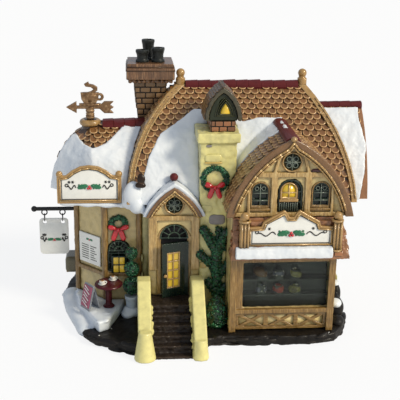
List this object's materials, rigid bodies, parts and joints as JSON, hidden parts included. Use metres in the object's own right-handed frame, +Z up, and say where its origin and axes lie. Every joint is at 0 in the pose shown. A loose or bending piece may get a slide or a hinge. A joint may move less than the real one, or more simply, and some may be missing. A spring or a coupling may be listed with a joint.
{
  "type": "ceramic christmas village house",
  "caption": "Snowy porcelain village tea room and bakery with a swinging sign, a turning weathervane and a clip-in lamp.",
  "frame": {"origin": "point on the underside of the rocky base, below the main walls", "axes": "+X to the right along the shop fronts, +Y to the back, +Z up"},
  "size_m": [0.2144, 0.141, 0.1714],
  "materials": {
    "rock_brown": "gloss",
    "snow_white": "satin",
    "cream_stone": "satin",
    "wall_stone": "satin",
    "roof_tile": "gloss",
    "burgundy_tile": "gloss",
    "antique_gold": "satin metallic paint",
    "timber_brown": "gloss",
    "brick_brown": "gloss",
    "sign_white": "gloss",
    "dark_green": "gloss",
    "shop_glass": "tinted clear",
    "lit_yellow": "translucent yellow",
    "pot_black": "satin",
    "black_metal": "satin",
    "wire_steel": "bright",
    "board_white": "satin",
    "vane_bronze": "satin bronze",
    "leaf_green": "gloss",
    "bow_red": "gloss",
    "pot_grey": "gloss",
    "maroon": "gloss",
    "easel_pink": "gloss",
    "cup_white": "gloss",
    "cake_glaze": "gloss",
    "lamp_plastic": "matte",
    "bulb_brass": "bright",
    "bulb_clear": "clear"
  },
  "bodies": {
    "house": {"base_slab": "rock_brown", "front_steps": "rock_brown", "ground_snow": "snow_white", "roof_snow": "snow_white", "tea_roof_snow": "snow_white", "canopy_snow": "snow_white", "porch_roof": "snow_white", "stair_walls": "cream_stone", "stair_tower": "cream_stone", "main_walls": "wall_stone", "tea_walls": "wall_stone", "bakery_walls": "wall_stone", "porch_walls": "wall_stone", "main_roof": "roof_tile", "tea_roof": "roof_tile", "side_roof": "roof_tile", "bakery_roof": "roof_tile", "ridge_caps": "burgundy_tile", "roof_finials": "antique_gold", "hip_ribs": "antique_gold", "bargeboards": "antique_gold", "bakery_sign_frame": "antique_gold", "tea_sign_frame": "antique_gold", "door_trim": "antique_gold", "gable_timbers": "timber_brown", "shop_window_frame": "timber_brown", "bracing_panel": "timber_brown", "door_frame": "timber_brown", "tea_timbers": "timber_brown", "round_windows": "timber_brown", "shop_canopy": "brick_brown", "chimney_stack": "brick_brown", "lantern_base": "brick_brown", "lantern_roof": "brick_brown", "bakery_sign_board": "sign_white", "tea_sign_board": "sign_white", "menu_board": "sign_white", "gable_windows": "dark_green", "front_door": "dark_green", "tea_window": "dark_green", "lantern_house": "dark_green", "shop_window_glass": "shop_glass", "door_panes": "lit_yellow", "chimney_pots": "pot_black", "sign_bracket": "black_metal", "wreaths": "leaf_green", "ivy_and_bush": "leaf_green", "topiary_tree": "leaf_green", "bows": "bow_red", "topiary_pot": "pot_grey", "cafe_table": "maroon", "sandwich_board": "easel_pink", "cups": "cup_white", "cake_display": "cake_glaze"},
    "vane": {"weathervane": "vane_bronze"},
    "hangers": {"hanger_links": "wire_steel"},
    "hanging_sign": {"swinging_sign": "board_white"},
    "lamp": {"lamp_holder": "lamp_plastic"},
    "bulb": {"bulb_base": "bulb_brass", "bulb_glass": "bulb_clear"}
  },
  "joints": [
    {"name": "vane_turn", "type": "hinge", "parent": "house", "child": "vane", "pos_m": [-0.0697, 0.012, 0.123], "axis": [0, 0, 1], "continuous": true},
    {"name": "hanger_swing", "type": "hinge", "parent": "house", "child": "hangers", "pos_m": [-0.0943, 0.003, 0.06245], "axis": [1, 0, 0], "range_deg": [-50, 50]},
    {"name": "sign_tilt", "type": "hinge", "parent": "hangers", "child": "hanging_sign", "pos_m": [-0.0943, 0.003, 0.05815], "axis": [1, 0, 0], "range_deg": [-20, 20]},
    {"name": "lamp_pull", "type": "slide", "parent": "house", "child": "lamp", "axis": [0, 1, 0], "range_m": [0, 0.065]},
    {"name": "bulb_unscrew", "type": "slide", "parent": "lamp", "child": "bulb", "axis": [0, -1, 0], "range_m": [0, 0.0095]}
  ]
}
